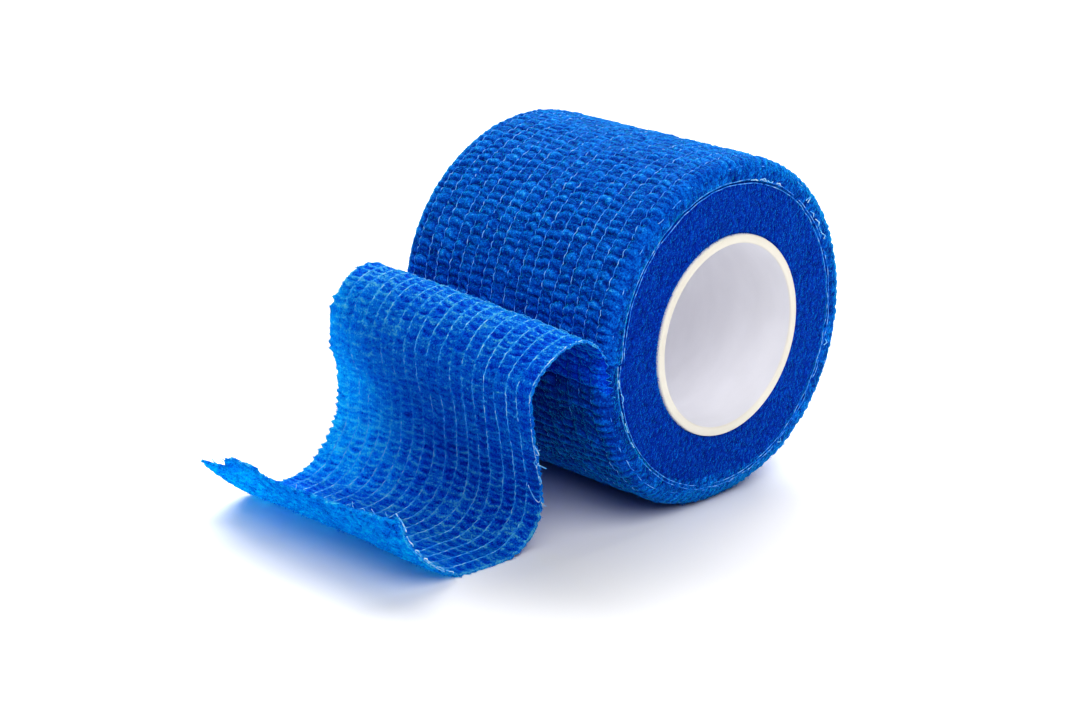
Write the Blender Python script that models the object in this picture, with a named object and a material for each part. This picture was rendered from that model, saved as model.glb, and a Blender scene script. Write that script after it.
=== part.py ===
"""A roll of cohesive bandage on a stiff core, with its loose end hanging to the surface.

Frame, in metres: X runs along the roll's axis, the loose end leaves on the -Y side, Z is up.
The origin lies on the surface, on the roll's flat spot, under the middle of the axis.
"""
import math

import bmesh
import bpy
from mathutils import Vector

MM = 0.001

# ------------------------------------------------------------------ driving dimensions
BAND_WIDTH = 50.0 * MM          # the band, and so the roll, from side face to side face
CORE_OUTER_RADIUS = 17.35 * MM
CORE_WALL = 1.55 * MM
CORE_EDGE_BEVEL = 0.25 * MM
PIECE_GAP = 0.3 * MM            # clearance between pieces that touch

ROLL_RADIUS = 30.4 * MM         # just below the place where the outer layer leaves the roll
AXIS_HEIGHT = 29.9 * MM         # a little under the radius, which presses the flat spot
FACE_INSET = 0.4 * MM           # the wound band's side faces lie inside the core's ends
SHOULDER = 1.7 * MM             # round between a side face and the outer surface
GROOVE_RADIUS = 25.6 * MM       # thin ring on the side face where two layers part
GROOVE_HALF_WIDTH = 0.5 * MM
GROOVE_DEPTH = 0.6 * MM
SPIRAL_RISE = 0.4 * MM          # radius gained over the last turn
SEAT_DEPTH = 0.9 * MM           # further dip that the leaving layer came out of
SEAT_ANGLE = math.radians(40)
LEAVING_ANGLE = math.radians(2.5)   # above the axis's height, on the -Y side
STEP_ANGLE = math.radians(0.6)

SHEET_THICKNESS = 1.0 * MM

ROLL_SEGMENTS = 96
SHOULDER_SEGMENTS = 5
CORE_SEGMENTS = 72
SECTIONS_PER_ROW = 3
STRIPS_ACROSS = 10

# The loose end's sections, in mm, from the roll to the cut end. Each row gives the middle of the
# sheet's thickness at its two side edges. The first row is worked out from the roll.
TAIL_COLUMNS = ("right_x", "right_y", "right_z", "left_x", "left_y", "left_z")
TAIL_ROWS = (
    (25.0, -30.4, 33.9, -25.0, -30.3, 34.3),    # leaving the roll
    (25.0, -32.1, 35.8, -25.0, -31.7, 37.1),
    (25.0, -34.8, 37.3, -25.0, -34.5, 39.0),
    (25.0, -37.5, 37.4, -25.0, -37.8, 39.2),    # crest
    (24.9, -40.4, 36.3, -25.0, -41.0, 37.9),
    (24.8, -43.3, 34.3, -25.1, -43.1, 35.3),
    (24.5, -45.2, 31.2, -25.4, -44.1, 31.6),
    (23.9, -44.7, 26.9, -26.1, -43.4, 26.6),    # hanging, drawn back towards the roll
    (22.9, -43.1, 22.0, -27.2, -41.4, 21.6),
    (21.8, -41.4, 17.3, -28.7, -40.3, 15.7),
    (20.3, -39.2, 12.1, -30.2, -39.9, 10.6),
    (18.6, -37.9, 6.6, -31.8, -41.2, 6.1),
    (17.1, -39.2, 2.3, -33.3, -42.4, 3.2),
    (17.0, -42.8, 0.7, -34.2, -45.0, 1.3),
    (16.7, -47.7, 0.6, -34.5, -48.1, 0.7),      # lying on the surface
    (16.0, -52.4, 0.7, -34.6, -51.3, 0.8),
    (16.0, -56.6, 2.7, -34.3, -54.9, 2.7),
    (16.2, -60.7, 5.6, -34.0, -59.0, 4.9),
    (16.4, -64.0, 9.2, -33.4, -63.3, 7.3),
    (16.8, -66.6, 14.0, -32.7, -67.4, 9.6),     # cut end, curled up
)


# ------------------------------------------------------------------ helpers
def clear_scene():
    for obj in list(bpy.data.objects):
        bpy.data.objects.remove(obj, do_unlink=True)


def make_material(name, colour, roughness):
    material = bpy.data.materials.new(name)
    material.use_nodes = True
    shader = material.node_tree.nodes["Principled BSDF"]
    shader.inputs["Base Color"].default_value = (*colour, 1.0)
    shader.inputs["Roughness"].default_value = roughness
    shader.inputs["Metallic"].default_value = 0.0
    material.diffuse_color = (*colour, 1.0)
    return material


def add_object(name, bm, material):
    mesh = bpy.data.meshes.new(name)
    bm.to_mesh(mesh)
    bm.free()
    mesh.materials.append(material)
    mesh.shade_smooth()
    mesh.set_sharp_from_angle(angle=math.radians(40))
    obj = bpy.data.objects.new(name, mesh)
    bpy.context.scene.collection.objects.link(obj)
    return obj


def turned_ring(profile, segments):
    """Spin a closed profile of (x, radius) points about the X axis into a closed ring."""
    bm = bmesh.new()
    ring = [bm.verts.new((x, -radius, 0.0)) for x, radius in profile]
    edges = [bm.edges.new((a, b)) for a, b in zip(ring, ring[1:] + ring[:1])]
    bmesh.ops.spin(bm, geom=ring + edges, cent=(0, 0, 0), axis=(1, 0, 0), dvec=(0, 0, 0),
                   angle=math.tau, steps=segments, use_merge=True, use_duplicate=False)
    bmesh.ops.recalc_face_normals(bm, faces=bm.faces)
    return bm


def mirrored(half):
    """Complete a half profile, given from the bore to mid-width, to the other side face."""
    return half + [(-x, radius) for x, radius in reversed(half)]


def catmull_rom(before, start, end, after, t):
    """Point at t between start and end on the smooth curve through four points."""
    return 0.5 * (2 * start + (end - before) * t
                  + (2 * before - 5 * start + 4 * end - after) * t ** 2
                  + (3 * start - before - 3 * end + after) * t ** 3)


# ------------------------------------------------------------------ the core
def build_core(material):
    end = BAND_WIDTH / 2
    inner = CORE_OUTER_RADIUS - CORE_WALL
    bevel = CORE_EDGE_BEVEL
    half = [(end - bevel, inner), (end, inner + bevel),
            (end, CORE_OUTER_RADIUS - bevel), (end - bevel, CORE_OUTER_RADIUS)]
    bm = turned_ring(mirrored(half), CORE_SEGMENTS)
    bmesh.ops.translate(bm, verts=bm.verts, vec=(0, 0, AXIS_HEIGHT))
    return add_object("core", bm, material)


# ------------------------------------------------------------------ the wound roll
def roll_profile():
    """Half profile from the bore, up the side face, round the shoulder to the outer surface."""
    face = BAND_WIDTH / 2 - FACE_INSET
    half = [(face, CORE_OUTER_RADIUS + PIECE_GAP),
            (face, GROOVE_RADIUS - GROOVE_HALF_WIDTH),
            (face - GROOVE_DEPTH, GROOVE_RADIUS),
            (face, GROOVE_RADIUS + GROOVE_HALF_WIDTH)]
    for step in range(SHOULDER_SEGMENTS + 1):
        turn = math.pi / 2 * step / SHOULDER_SEGMENTS
        half.append((face - SHOULDER * (1 - math.cos(turn)),
                     ROLL_RADIUS - SHOULDER * (1 - math.sin(turn))))
    return mirrored(half)


def roll_radius(wound_back):
    """Outer radius at an angle counted back along the winding from where the layer leaves."""
    seat = max(0.0, 1 - (math.tau - wound_back) / SEAT_ANGLE)
    return ROLL_RADIUS - SPIRAL_RISE * wound_back / math.tau - SEAT_DEPTH * seat ** 2


def build_roll(material):
    """Turn the profile, then wind it: spiral outside, round bore, step face and flat spot."""
    bm = turned_ring(roll_profile(), ROLL_SEGMENTS)
    bore = CORE_OUTER_RADIUS + PIECE_GAP
    segment_angle = math.tau / ROLL_SEGMENTS
    for vert in bm.verts:
        radius = math.hypot(vert.co.y, vert.co.z)
        spun_angle = math.atan2(vert.co.z, vert.co.y) + math.pi
        segment = round(spun_angle / segment_angle) % ROLL_SEGMENTS
        wound_back = (math.tau - STEP_ANGLE) * segment / (ROLL_SEGMENTS - 1)
        share = (radius - bore) / (ROLL_RADIUS - bore)
        radius += share * (roll_radius(wound_back) - ROLL_RADIUS)
        angle = LEAVING_ANGLE - wound_back
        height = AXIS_HEIGHT + radius * math.sin(angle)
        vert.co = (vert.co.x, -radius * math.cos(angle), max(height, 0.0))
    bmesh.ops.recalc_face_normals(bm, faces=bm.faces)
    return add_object("wound_roll", bm, material)


# ------------------------------------------------------------------ the loose tail
def tail_start(edge_x):
    """The sheet's first section, flush with the roll's outer surface just past its step."""
    gap_angle = PIECE_GAP / ROLL_RADIUS
    angle = LEAVING_ANGLE + STEP_ANGLE + gap_angle
    radius = ROLL_RADIUS - SHEET_THICKNESS / 2
    return Vector((edge_x, -radius * math.cos(angle), AXIS_HEIGHT + radius * math.sin(angle)))


def tail_edges():
    """Smooth right and left side edges, as lists of points from the roll to the cut end."""
    rows = [dict(zip(TAIL_COLUMNS, row)) for row in TAIL_ROWS]
    edges = []
    for side, sign in (("right", 1), ("left", -1)):
        points = [tail_start(sign * BAND_WIDTH / 2)]
        points += [Vector([row[f"{side}_{axis}"] * MM for axis in "xyz"]) for row in rows]
        padded = [points[0]] + points + [points[-1]]
        edge = []
        for i in range(1, len(padded) - 2):
            for step in range(SECTIONS_PER_ROW):
                edge.append(catmull_rom(*padded[i - 1:i + 3], step / SECTIONS_PER_ROW))
        edges.append(edge + [points[-1]])
    return edges


def build_tail(material):
    right, left = tail_edges()
    bm = bmesh.new()
    bmesh.ops.create_grid(bm, x_segments=STRIPS_ACROSS, y_segments=len(right) - 1, size=0.5)
    for vert in bm.verts:
        across = vert.co.x + 0.5
        section = round((vert.co.y + 0.5) * (len(right) - 1))
        vert.co = right[section].lerp(left[section], across)
    bmesh.ops.recalc_face_normals(bm, faces=bm.faces)
    obj = add_object("loose_tail", bm, material)
    thickness = obj.modifiers.new("thickness", "SOLIDIFY")
    thickness.thickness = SHEET_THICKNESS
    thickness.offset = 0.0
    thickness.use_even_offset = True
    return obj


# ------------------------------------------------------------------ the whole part
def build():
    clear_scene()
    ivory_card = make_material("ivory_card", (0.83, 0.80, 0.74), 0.45)
    blue_band = make_material("blue_band", (0.01, 0.13, 0.52), 0.85)
    blue_band_loose = make_material("blue_band_loose", (0.02, 0.19, 0.62), 0.85)
    build_core(ivory_card)
    build_roll(blue_band)
    build_tail(blue_band_loose)


build()
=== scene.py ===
# %% [markdown]
# # A roll of cohesive bandage with its loose end
# The real thing is one long band of thin crinkled cloth, wound on a stiff tube. Nineteen fine
# threads run along the band, one of them at each edge, and gather it into rows of small pillows.
# The last part of the band has come off the roll: it arches over, hangs to the surface, lies on
# it and curls up at its cut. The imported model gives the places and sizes. This script gives the
# cloth, threads and finishes.

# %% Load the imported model
import functools
import math

import bmesh
import bpy
import numpy as np
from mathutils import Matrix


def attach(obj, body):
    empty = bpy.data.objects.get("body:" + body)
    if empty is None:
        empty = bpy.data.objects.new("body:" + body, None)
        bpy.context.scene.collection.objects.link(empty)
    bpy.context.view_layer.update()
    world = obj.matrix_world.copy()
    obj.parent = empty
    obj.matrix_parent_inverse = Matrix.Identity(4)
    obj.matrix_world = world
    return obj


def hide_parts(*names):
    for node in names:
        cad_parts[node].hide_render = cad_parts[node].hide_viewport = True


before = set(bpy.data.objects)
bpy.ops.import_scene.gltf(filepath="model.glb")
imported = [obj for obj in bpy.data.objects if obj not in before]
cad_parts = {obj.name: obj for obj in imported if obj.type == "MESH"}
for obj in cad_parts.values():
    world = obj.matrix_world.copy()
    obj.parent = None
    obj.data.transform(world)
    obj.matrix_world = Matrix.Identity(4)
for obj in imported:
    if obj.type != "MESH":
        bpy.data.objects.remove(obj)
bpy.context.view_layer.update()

MM = 0.001

# %% [markdown]
# ## Camera
# The photograph was taken with a long lens from a little above, from the side of the loose end.
# The camera's place could be guessed by eye. Here it comes from fitting the circles of the core
# and the side face to their outlines, so the model's millimetres land on the same spots.


# %% Camera
def new_object(name, data):
    made = bpy.data.objects.new(name, data)
    bpy.context.scene.collection.objects.link(made)
    return made


camera_data = bpy.data.cameras.new("camera")
camera_data.sensor_width = 36.0
camera_data.lens = 81.99
camera_data.clip_start = 0.01
camera_data.clip_end = 20.0
camera = new_object("camera", camera_data)
camera.location = (0.27894, -0.29453, 0.16351)
camera.rotation_euler = (math.radians(70.421), 0.0, math.radians(45.433))
bpy.context.scene.camera = camera
print("camera", tuple(round(v, 3) for v in camera.location), "lens", camera_data.lens)

# %% [markdown]
# ## Floor and light
# The photograph has a plain white ground. Its shadows are short and soft and fall to two sides, so
# it was lit by a large soft panel behind the roll and a smaller one high on the right in front.
# A bright floor, a dim white world and the same two panels give such shadows. The view is set to
# Standard, because the filmic views grey the white ground and dull the blue, and it gets some
# contrast, as the photograph has.


# %% Floor and light
def new_material(name):
    """A node material, with its tree and its Principled shader."""
    material = bpy.data.materials.new(name)
    material.use_nodes = True
    return material, material.node_tree, material.node_tree.nodes["Principled BSDF"]


def feed(node, inputs):
    """Set a node's inputs: a number or colour is set, another node's output is linked."""
    for key, value in inputs.items():
        if isinstance(value, bpy.types.NodeSocket):
            node.id_data.links.new(value, node.inputs[key])
        else:
            node.inputs[key].default_value = value


FLOOR_SIZE = 6.0
FLOOR_WHITE = (0.93, 0.93, 0.93, 1.0)
WORLD_STRENGTH = 0.11
floor_mesh = bpy.data.meshes.new("floor")
floor_bm = bmesh.new()
bmesh.ops.create_grid(floor_bm, x_segments=1, y_segments=1, size=FLOOR_SIZE / 2)
floor_bm.to_mesh(floor_mesh)
floor_bm.free()
floor = new_object("floor", floor_mesh)
floor_material, _, floor_shader = new_material("white_ground")
feed(floor_shader, {"Base Color": FLOOR_WHITE, "Roughness": 0.9, "Specular IOR Level": 0.1})
floor_mesh.materials.append(floor_material)

world = bpy.data.worlds.new("white_room")
world.use_nodes = True
feed(world.node_tree.nodes["Background"], {"Color": (1, 1, 1, 1), "Strength": WORLD_STRENGTH})
bpy.context.scene.world = world
bpy.context.scene.view_settings.view_transform = "Standard"
bpy.context.scene.view_settings.look = "Medium High Contrast"


def soft_light(name, place, target, size, power):
    """A square lamp at place that faces target."""
    data = bpy.data.lights.new(name, "AREA")
    data.shape = "SQUARE"
    data.size = size
    data.energy = power
    lamp = new_object(name, data)
    lamp.location = place
    aim = [t - p for t, p in zip(target, place)]
    lamp.rotation_euler = (
        math.acos(-aim[2] / math.hypot(*aim)), 0.0, math.atan2(aim[1], aim[0]) - math.pi / 2)


ROLL_FOOT = (0.0, 0.0, 0.02)
soft_light("back_panel", (-0.58, 0.60, 0.88), ROLL_FOOT, size=1.4, power=26.5)
soft_light("front_panel", (0.60, -0.32, 0.82), ROLL_FOOT, size=0.85, power=7.3)
print("floor and", len(bpy.data.lights), "lamps")

# %% [markdown]
# ## The crinkle of the band
# On the real band the threads are laid in stretched, and when they draw back they gather the
# cloth into pillows: one column between each two threads, with a groove every 1.3 to 1.6 mm. The
# crinkle could be painted on as bump only, but then the outline would stay smooth. So it is one
# height, worked out for any place on the band, and every piece of the band is moved by it. A
# place is given by its column across the band, where whole numbers are threads, and by how far
# back along the winding it is from the line where the band leaves the roll. On the loose end
# that second number is negative.

# %% Smooth random values
NOISE_GRID = 128


@functools.cache
def random_grid(seed):
    """A square of random values from -1 to 1, always the same for a seed."""
    return np.random.default_rng(seed).random((NOISE_GRID, NOISE_GRID)) * 2 - 1


def smooth_noise(a, b, seed):
    """Random hills from -1 to 1 over a plane, one for each unit of a and b."""
    grid = random_grid(seed)
    a, b = np.broadcast_arrays(np.asarray(a, float), np.asarray(b, float))
    i, j = np.floor(a).astype(int), np.floor(b).astype(int)
    f, g = a - i, b - j
    f, g = f * f * (3 - 2 * f), g * g * (3 - 2 * g)
    i, j, i2, j2 = i % NOISE_GRID, j % NOISE_GRID, (i + 1) % NOISE_GRID, (j + 1) % NOISE_GRID
    near = grid[i, j] * (1 - f) + grid[i2, j] * f
    far = grid[i, j2] * (1 - f) + grid[i2, j2] * f
    return near * (1 - g) + far * g


def share_of(value):
    """The value held between 0 and 1."""
    return np.clip(value, 0.0, 1.0)


print("noise at three places", np.round(smooth_noise([0.2, 4.4, 9.1], 0.5, 1), 2))

# %% Threads and rows
BAND_WIDTH = 50.0
COLUMNS = 18
EDGE_INSET = 0.35
THREAD_PITCH = (BAND_WIDTH - 2 * EDGE_INSET) / COLUMNS
MARK_STEP = 0.1
PITCH_PLACES = (-90, -46, -38, -22, -14, -5, 5)
ROW_PITCHES = (1.6, 1.5, 1.5, 1.5, 1.3, 1.35, 1.64)
along_marks = np.arange(-95.0, 215.0, MARK_STEP)
row_marks = np.cumsum(MARK_STEP / np.interp(along_marks, PITCH_PLACES, ROW_PITCHES))


def thread_home(number):
    """Where a thread would lie across the band if it ran straight."""
    return -BAND_WIDTH / 2 + EDGE_INSET + THREAD_PITCH * number


def thread_across(number, along):
    """Where a thread lies across the band, from -25 to 25 mm, at a place along it."""
    number, along = np.asarray(number, float), np.asarray(along, float)
    inner = share_of(np.minimum(number, COLUMNS - number))
    drift = 0.32 * smooth_noise(along / 17, number * 3.7, 2)
    wobble = 0.12 * smooth_noise(along / 3.2, number * 5.3, 3)
    return thread_home(number) + (drift + wobble) * (0.2 + 0.8 * inner)


def cell_of(column):
    """The thread on a column's left, and the share of the way to the next thread."""
    low = np.clip(np.floor(column), 0, COLUMNS - 1)
    return low, share_of(column - low)


def column_across(column, along):
    """Distance across the band of a place given by its column."""
    low = np.clip(np.floor(column), 0, COLUMNS - 1)
    left, right = thread_across(low, along), thread_across(low + 1, along)
    return left + (column - low) * (right - left)


def row_at(column, along):
    """Rows counted along the band. They bow, drift and slip a little from column to column."""
    low, share = cell_of(column)
    bow = 0.9 * share * (1 - share)
    drift = 0.50 * smooth_noise(column / 2.6, along / 9, 4)
    slip = np.interp(along, (-12, 0), (0.22, 0.26)) * smooth_noise(low * 1.7, along / 4.5, 5)
    waver = 0.20 * smooth_noise(column * 1.9, along / 1.3, 10)
    return np.interp(along, along_marks, row_marks) + bow + drift + slip + waver


CREASE_WIDTH = 0.13


def crinkle(column, along):
    """Height of the pillows, from 0 in a groove to about 1 on top."""
    low, share = cell_of(column)
    wound = share_of(along / 5.0)
    # across the band: an arch from thread to thread, flatter on the loose end
    dip = 0.60 - 0.26 * wound
    arch = 1 - dip + dip * (4 * share * (1 - share)) ** 0.33
    # along the band: a groove between each two pillows, and pillows of unlike size
    row = row_at(column, along)
    part = (row % 1.0) ** 0.8
    groove = 0.82 + 0.18 * smooth_noise(row, low * 2.3 + 0.5, 6)
    plump = 0.80 + 0.20 * smooth_noise(row / 0.8, low * 3.1 + 0.5, 7)
    ridge_shape = 1 - groove * np.abs(2 * part - 1) ** (2.6 - 0.7 * wound)
    # on some pillows: one slanting crease
    pillow = np.floor(row)
    slant = 0.5 * (share - 0.5) * smooth_noise(pillow * 1.3, low * 3.3, 42)
    bend = 0.5 + 0.30 * smooth_noise(pillow * 1.7, low * 2.9, 41) + slant
    fold = np.clip(0.22 + 0.75 * smooth_noise(pillow * 2.1, low * 1.9, 43), 0.0, 0.62)
    crease = fold * np.exp(-((part - bend) / CREASE_WIDTH) ** 2)
    return plump * arch * ridge_shape * (1 - crease)


def fine_lumps(across, along):
    """Small unevenness of the fibres, from about -1 to 1."""
    small = smooth_noise(across / 0.62, along / 0.50, 8)
    large = smooth_noise(across / 1.4, along / 1.0, 9)
    return 0.65 * small + 0.35 * large


print("rows on the outer turn", round(float(np.diff(np.interp((0, 190), along_marks, row_marks))[0])))

# %% [markdown]
# ## The wound roll
# The roll is a solid of many turns. Its outer turn shows the pillows, and its side faces show
# the edges of all the turns, pressed together like felt. A thin ring-shaped groove parts the
# outer few turns from the rest. So the roll is made as two rings: the outer turns with the
# shoulders, and the inner turns. Each one starts as a closed outline that is spun about the axis
# in coarse steps. The steps are subdivided, and then every vertex is moved to its turn of the
# spiral and by the crinkle. A layer of the mesh carries each vertex's column through all this.

# %% Sizes of the roll
ROLL_RADIUS = 30.4
AXIS_HEIGHT = 29.9
CORE_RADIUS = 17.35
FACE_X = 24.6
SHOULDER = 1.9
GROOVE_RADIUS = 26.3
SPIRAL_RISE = 0.4
SEAT_DEPTH = 0.9
SEAT_ANGLE = math.radians(40)
LEAVING_ANGLE = math.radians(2.5)
STEP_ANGLE = math.radians(0.6)
ROLL_RELIEF = 0.78
LIFT = 0.14
print("roll", 2 * ROLL_RADIUS, "mm across, outer turn", round(ROLL_RADIUS * math.tau), "mm long")


# %% A ring spun from its outline
def round_edges(bm):
    """The edges that run round the axis, at one place along it and one radius."""
    return [e for e in bm.edges if abs(e.verts[0].co.x - e.verts[1].co.x) < 1e-5
            and abs(e.verts[0].co.yz.length - e.verts[1].co.yz.length) < 1e-3]


def spun_ring(outline, steps, cuts):
    """A closed outline of (x, radius, column) points in mm, turned once about the X axis."""
    bm = bmesh.new()
    layer = bm.verts.layers.float.new("column")
    ring = [bm.verts.new((x, -radius, 0.0)) for x, radius, column in outline]
    for vert, (x, radius, column) in zip(ring, outline):
        vert[layer] = column
    edges = [bm.edges.new(pair) for pair in zip(ring, ring[1:] + ring[:1])]
    bmesh.ops.spin(bm, geom=ring + edges, cent=(0, 0, 0), axis=(1, 0, 0), dvec=(0, 0, 0),
                   angle=math.tau, steps=steps, use_merge=True, use_duplicate=False)
    bmesh.ops.subdivide_edges(bm, edges=round_edges(bm), cuts=cuts, use_grid_fill=True)
    bmesh.ops.recalc_face_normals(bm, faces=bm.faces)
    # spin may number the vertices in another way in each run, so they are put in order
    ordered = sorted(bm.verts, key=lambda vert: tuple(round(c, 4) for c in vert.co))
    for number, vert in enumerate(ordered):
        vert.index = number
    bm.verts.sort()
    return bm


def mesh_of(name, bm):
    """The bmesh as a smooth mesh."""
    mesh = bpy.data.meshes.new(name)
    bm.to_mesh(mesh)
    bm.free()
    mesh.shade_smooth()
    return mesh


print("ring maker ready")


# %% Numbers of every vertex, as one array
def read_numbers(collection, key, width):
    """One number, or width numbers, for each item of a mesh's collection."""
    values = np.empty(len(collection) * width)
    collection.foreach_get(key, values)
    return values.reshape(-1, width) if width > 1 else values


def places(mesh):
    return read_numbers(mesh.vertices, "co", 3)


def set_places(mesh, co):
    """Store positions given in mm as metres."""
    mesh.vertices.foreach_set("co", (co * MM).ravel())
    mesh.update()


def ring_places(mesh, steps, cuts):
    """Each vertex of a spun ring as x, radius, angle wound back, and column."""
    co = places(mesh)
    column = read_numbers(mesh.attributes["column"].data, "value", 1)
    mesh.attributes.remove(mesh.attributes["column"])
    fine = steps * (cuts + 1)
    spun = (np.arctan2(co[:, 2], co[:, 1]) + math.pi) % math.tau
    wide = math.tau / steps
    chord = np.cos((spun % wide) - wide / 2) / math.cos(wide / 2)
    back = (math.tau - STEP_ANGLE) * (np.round(spun / math.tau * fine) % fine) / (fine - 1)
    return co[:, 0], np.hypot(co[:, 1], co[:, 2]) * chord, back, column


def set_attribute(mesh, name, values):
    """Store one number, or one vector, for each vertex, for a material to read."""
    kind, key = ("FLOAT", "value") if values.ndim == 1 else ("FLOAT_VECTOR", "vector")
    mesh.attributes.new(name, kind, "POINT").data.foreach_set(key, values.astype(float).ravel())


print("readers and writers ready")


# %% A finished piece
def add_piece(name, mesh, slot, *materials):
    """An object that rides on the body and takes the given materials. slot is not used."""
    for material in materials:
        mesh.materials.append(material)
    piece = new_object(name, mesh)
    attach(piece, "root")
    print(name, len(mesh.vertices), "vertices")
    return piece


print("piece maker ready")

# %% Winding
TUCK_WIDTH = 4.5
COVER_DEPTH = 0.75
COVER_LENGTH = 5.0


def wound_radius(back):
    """Radius of the outer turn at an angle counted back from the leaving line."""
    seat = share_of(1 - (math.tau - back) / SEAT_ANGLE)
    return ROLL_RADIUS - SPIRAL_RISE * back / math.tau - SEAT_DEPTH * seat ** 2


def turn_radius(radius, back, amount=1.0):
    """Radius of any turn. The spiral fades out towards the core."""
    share = (radius - CORE_RADIUS) / (ROLL_RADIUS - CORE_RADIUS)
    return radius + share * (wound_radius(back) - ROLL_RADIUS) * amount


def over_shoulder(x):
    """Share of the way over a rounded shoulder, at a place across the band."""
    return share_of((np.abs(x) - (FACE_X - SHOULDER)) / SHOULDER)


def edge_tuck(x, back):
    """How far the outer turns draw in at their edges, most of all where they are pressed."""
    down = share_of(np.cos(LEAVING_ANGLE - back + math.pi / 2))
    return (0.25 + 2.3 * down ** 6) * share_of((np.abs(x) - (FACE_X - TUCK_WIDTH)) / TUCK_WIDTH) ** 2


def under_sheet(along):
    """How far the outer turn sinks where the loose end's cloth starts to cover it."""
    return COVER_DEPTH * share_of(1 - along / COVER_LENGTH) ** 0.7


def around_axis(x, radius, back):
    """Points in mm from places given about the roll's axis, pressed flat on the surface."""
    angle = LEAVING_ANGLE - back
    height = AXIS_HEIGHT + radius * np.sin(angle)
    return np.stack([x, -radius * np.cos(angle), np.maximum(height, 0.02)], axis=-1)


def felt_lumps(around, radius, fine, seed):
    """Unevenness of the pressed layer edges, from about -1 to 1."""
    small = smooth_noise(around / fine, radius / fine, seed)
    large = smooth_noise(around / 1.3, radius / 1.3, seed + 1)
    return 0.7 * small + 0.4 * large


print("radius one turn back", wound_radius(math.tau))

# %% Outer turns: the outline's points between the shoulders
SPIN_STEPS = 64
SKIN_CUTS = 9
CELLS = 7
column_marks = []
for column in range(1, COLUMNS - 1):
    for cell in range(CELLS):
        share = cell / CELLS
        column_marks.append(column + share - 0.35 * math.sin(math.tau * share) / math.tau)
column_marks.append(COLUMNS - 1.0)
skin_line = [(thread_home(c), ROLL_RADIUS, c) for c in column_marks]
print("points across the band", len(skin_line))

# %% Outer turns: the shoulders, the faces and the groove's wall
SHOULDER_STEPS = 10
FACE_STEP = 0.42
GROOVE_DEPTH = 2.5
level = FACE_X - SHOULDER - thread_home(COLUMNS - 1)
arc = level + SHOULDER * math.pi / 2
half = []
for step in range(1, SHOULDER_STEPS + 1):
    gone = arc * step / SHOULDER_STEPS
    turn = max(0.0, gone - level) / SHOULDER
    x = thread_home(COLUMNS - 1) + min(gone, level) + SHOULDER * math.sin(turn)
    column = COLUMNS - 1 + min(1.0, step / (0.8 * SHOULDER_STEPS))
    half.append((x, ROLL_RADIUS - SHOULDER * (1 - math.cos(turn)), column))
for radius in np.arange(ROLL_RADIUS - SHOULDER - FACE_STEP, GROOVE_RADIUS + 0.6, -FACE_STEP):
    half.append((FACE_X, radius, float(COLUMNS)))
for depth, gap in ((0.15, 0.26), (0.8, 0.12), (GROOVE_DEPTH, 0.12)):
    half.append((FACE_X - depth, GROOVE_RADIUS + gap, COLUMNS))
outline = skin_line + half + [(-x, radius, COLUMNS - c) for x, radius, c in reversed(half)]
skin_mesh = mesh_of("outer_turns", spun_ring(outline, SPIN_STEPS, SKIN_CUTS))
print("outline points", len(outline), "faces", len(skin_mesh.polygons))

# %% Outer turns: where each vertex is on the band
SHOULDER_ARC = 2.4
x, radius, back, column = ring_places(skin_mesh, SPIN_STEPS, SKIN_CUTS)
along = back * ROLL_RADIUS
on_skin = share_of((radius - (ROLL_RADIUS - SHOULDER)) / (0.45 * SHOULDER))
over = over_shoulder(x)
x = x + (column_across(column, along) - thread_home(column)) * (1 - over)
across = np.where(over > 0, np.sign(x) * (FACE_X - SHOULDER + over * SHOULDER_ARC), x)
wound = turn_radius(radius, back) - edge_tuck(x, back)
print("vertices on the skin", int((on_skin > 0.5).sum()), "of", len(x))

# %% Outer turns: crinkle
# On the shoulders the pillows fade to a plain rounded edge: late on the right, early on the left.
EDGE_HEIGHT = 0.72
height = crinkle(column, along)
lumps = fine_lumps(across, along)
felt = felt_lumps(back * ROLL_RADIUS, radius, 0.50, 11)
faded_right = np.maximum(0.4 * share_of(2 * over), 0.85 * share_of((over - 0.85) / 0.1))
faded = np.where(x > 0, faded_right, 0.85 * share_of(1.4 * over - 0.1))
height = height * (1 - faded) + EDGE_HEIGHT * faded
rise = LIFT + 0.06 - ROLL_RELIEF * (1 - height) + 0.15 * (1 - 0.5 * faded) * lumps - under_sheet(along)
on_face = (1 - on_skin) * (radius > GROOVE_RADIUS + 0.5)
x = x + np.sign(x) * (0.08 * felt * on_face + 0.8 * over * on_skin * rise)
set_places(skin_mesh, around_axis(x, wound + on_skin * rise * (1 - 0.35 * over), back))
# The tone follows the height: painted shade in the grooves, painted light on the tops.
skin_tone = height + 0.25 * (1 - 0.6 * faded) * lumps
face_tone = 0.46 + 0.55 * felt
# Painted shade: the outer turn is painted darker under the arch of the loose end.
painted_arch_shade = 0.24 * share_of(1.4 - along / 26)
relief = on_skin * skin_tone + (1 - on_skin) * face_tone - painted_arch_shade
set_attribute(skin_mesh, "relief", share_of(relief))
set_attribute(skin_mesh, "band", np.stack([across, along, on_skin], axis=-1))
print("crinkle height, mean", round(float(height.mean()), 2))

# %% Inner turns: outline
# Here the layer that the mesh carries says how much of the felt a vertex takes, from 0 to 1.
INNER_CUTS = 8
INNER_STEP = 0.31
half = [(FACE_X - 0.6, CORE_RADIUS + 0.05, 0.0), (FACE_X - 0.1, CORE_RADIUS + 0.12, 0.3)]
half += [(FACE_X, radius, 1.0) for radius in np.arange(CORE_RADIUS + 0.4, GROOVE_RADIUS - 0.5, INNER_STEP)]
for depth, gap in ((0.12, 0.26), (0.7, 0.11), (2.2, 0.1)):
    half.append((FACE_X - depth, GROOVE_RADIUS - gap, 0.0))
outline = half + [(-x, radius, c) for x, radius, c in reversed(half)]
inner_mesh = mesh_of("inner_turns", spun_ring(outline, SPIN_STEPS, INNER_CUTS))
print("outline points", len(outline), "faces", len(inner_mesh.polygons))

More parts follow.
